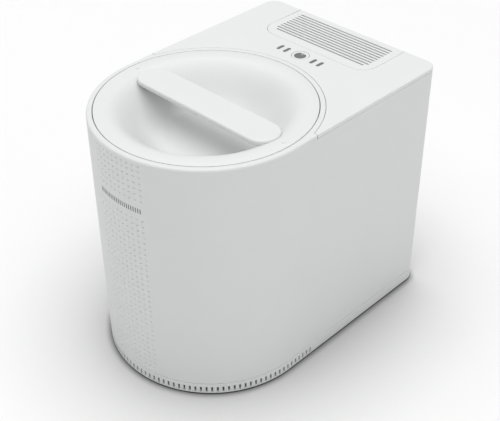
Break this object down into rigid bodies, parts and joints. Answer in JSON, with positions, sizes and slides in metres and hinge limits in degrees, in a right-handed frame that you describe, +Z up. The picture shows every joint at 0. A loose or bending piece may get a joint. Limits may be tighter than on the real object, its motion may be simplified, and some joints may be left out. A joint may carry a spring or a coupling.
{
  "type": "food waste recycler",
  "caption": "countertop food-waste recycler with a round-nosed white housing, twist-off bowl lid with bridge handle, heated stirred bucket and a slotted filter cover",
  "frame": {"origin": "on the ground at the centre of the footprint", "axes": "+Z up; -Y is the rounded front; +X is on the right of a viewer who looks along +Y at the front"},
  "size_m": [0.264, 0.38, 0.321],
  "materials": {
    "shell_white": "satin moulded",
    "deck_white": "satin moulded",
    "lid_white": "satin moulded",
    "base_grey": "satin moulded",
    "indicator_grey": "smoked, unlit",
    "rubber_dark": "matte",
    "gasket_grey": "matte silicone",
    "steel_grey": "brushed",
    "bucket_metal": "satin",
    "bronze": "sintered",
    "gear_nylon": "natural nylon",
    "motor_steel": "plated",
    "insulation": "felted fibre",
    "dark_plastic": "moulded",
    "grey_plastic": "moulded",
    "carbon": "granular",
    "board_green": "solder mask"
  },
  "bodies": {
    "housing": {"outer_shell": "shell_white", "top_deck": "deck_white", "rear_panel": "base_grey", "base_pan": "base_grey", "well_liner": "steel_grey", "heater_plate": "bucket_metal", "insulation_sleeve": "insulation", "shaft_seal": "rubber_dark", "thermistor": "bronze", "gearbox_lower_plate": "steel_grey", "gearbox_upper_plate": "steel_grey", "main_bush_lower": "bronze", "main_bush_upper": "bronze", "layshaft_pin": "steel_grey", "motor_housing": "motor_steel", "exhaust_duct": "grey_plastic", "filter_bay": "grey_plastic", "blower_housing": "dark_plastic", "blower_motor": "motor_steel", "fan_frame": "dark_plastic", "tact_switch": "dark_plastic", "control_board": "board_green", "reed_switch": "dark_plastic", "power_board": "board_green", "mains_inlet": "dark_plastic", "rear_panel_screw_1": "steel_grey", "rubber_foot_1": "rubber_dark", "indicator_1": "indicator_grey", "rear_panel_screw_2": "steel_grey", "rubber_foot_2": "rubber_dark", "indicator_2": "indicator_grey", "rear_panel_screw_3": "steel_grey", "rubber_foot_3": "rubber_dark", "indicator_3": "indicator_grey", "rear_panel_screw_4": "steel_grey", "rubber_foot_4": "rubber_dark", "indicator_4": "indicator_grey"},
    "bucket": {"bucket": "bucket_metal", "bucket_bush": "bronze"},
    "inner_lid": {"lid_inner_plate": "grey_plastic", "lid_gasket": "gasket_grey"},
    "lid": {"lid": "lid_white", "lid_handle": "lid_white", "lid_magnet": "steel_grey"},
    "agitator": {"agitator": "steel_grey", "agitator_shaft": "steel_grey"},
    "main_drive": {"main_gear": "gear_nylon", "main_shaft": "steel_grey"},
    "compound_gear": {"compound_gear": "gear_nylon"},
    "motor_rotor": {"motor_armature": "motor_steel", "motor_pinion": "bronze"},
    "fan_rotor": {"fan_rotor": "dark_plastic"},
    "blower_wheel": {"blower_wheel": "dark_plastic"},
    "power_button": {"power_button": "deck_white"},
    "filter_cassette": {"filter_cassette": "dark_plastic", "carbon_block": "carbon", "filter_seal": "rubber_dark"},
    "filter_cover": {"filter_cover": "deck_white"}
  },
  "joints": [
    {"name": "bucket_lift", "type": "slide", "parent": "housing", "child": "bucket", "axis": [0, 0, 1], "range_m": [0, 0.21]},
    {"name": "lid_lift", "type": "slide", "parent": "bucket", "child": "inner_lid", "axis": [0, 0, 1], "range_m": [0, 0.12]},
    {"name": "lid_turn", "type": "hinge", "parent": "inner_lid", "child": "lid", "pos_m": [0, -0.058, 0.32], "axis": [0, 0, 1], "range_deg": [0, 20.8]},
    {"name": "agitator_spin", "type": "hinge", "parent": "bucket", "child": "agitator", "pos_m": [0, -0.058, 0.15], "axis": [0, 0, 1], "continuous": true},
    {"name": "main_spin", "type": "hinge", "parent": "housing", "child": "main_drive", "pos_m": [0, -0.058, 0.025], "axis": [0, 0, 1], "continuous": true},
    {"name": "compound_spin", "type": "hinge", "parent": "housing", "child": "compound_gear", "pos_m": [0, 0.02, 0.025], "axis": [0, 0, 1], "continuous": true},
    {"name": "motor_spin", "type": "hinge", "parent": "housing", "child": "motor_rotor", "pos_m": [0, 0.0725, 0.038], "axis": [0, 0, 1], "continuous": true},
    {"name": "cooling_fan_spin", "type": "hinge", "parent": "housing", "child": "fan_rotor", "pos_m": [0.06, 0.18, 0.1], "axis": [0, 1, 0], "continuous": true},
    {"name": "blower_spin", "type": "hinge", "parent": "housing", "child": "blower_wheel", "pos_m": [0, 0.15, 0.18], "axis": [0, 0, 1], "continuous": true},
    {"name": "power_press", "type": "slide", "parent": "housing", "child": "power_button", "axis": [0, 0, -1], "range_m": [0, 0.001], "stiffness_N_per_m": 600, "springref_m": -0.001},
    {"name": "cassette_lift", "type": "slide", "parent": "housing", "child": "filter_cassette", "axis": [0, 0, 1], "range_m": [0, 0.115]},
    {"name": "cover_lift", "type": "slide", "parent": "filter_cassette", "child": "filter_cover", "axis": [0, 0, 1], "range_m": [0, 0.09]}
  ],
  "couplings": [
    {"joint": "agitator_spin", "follows": "main_spin", "ratio": 1},
    {"joint": "compound_spin", "follows": "main_spin", "ratio": -3.3333},
    {"joint": "motor_spin", "follows": "main_spin", "ratio": 8.3333}
  ]
}
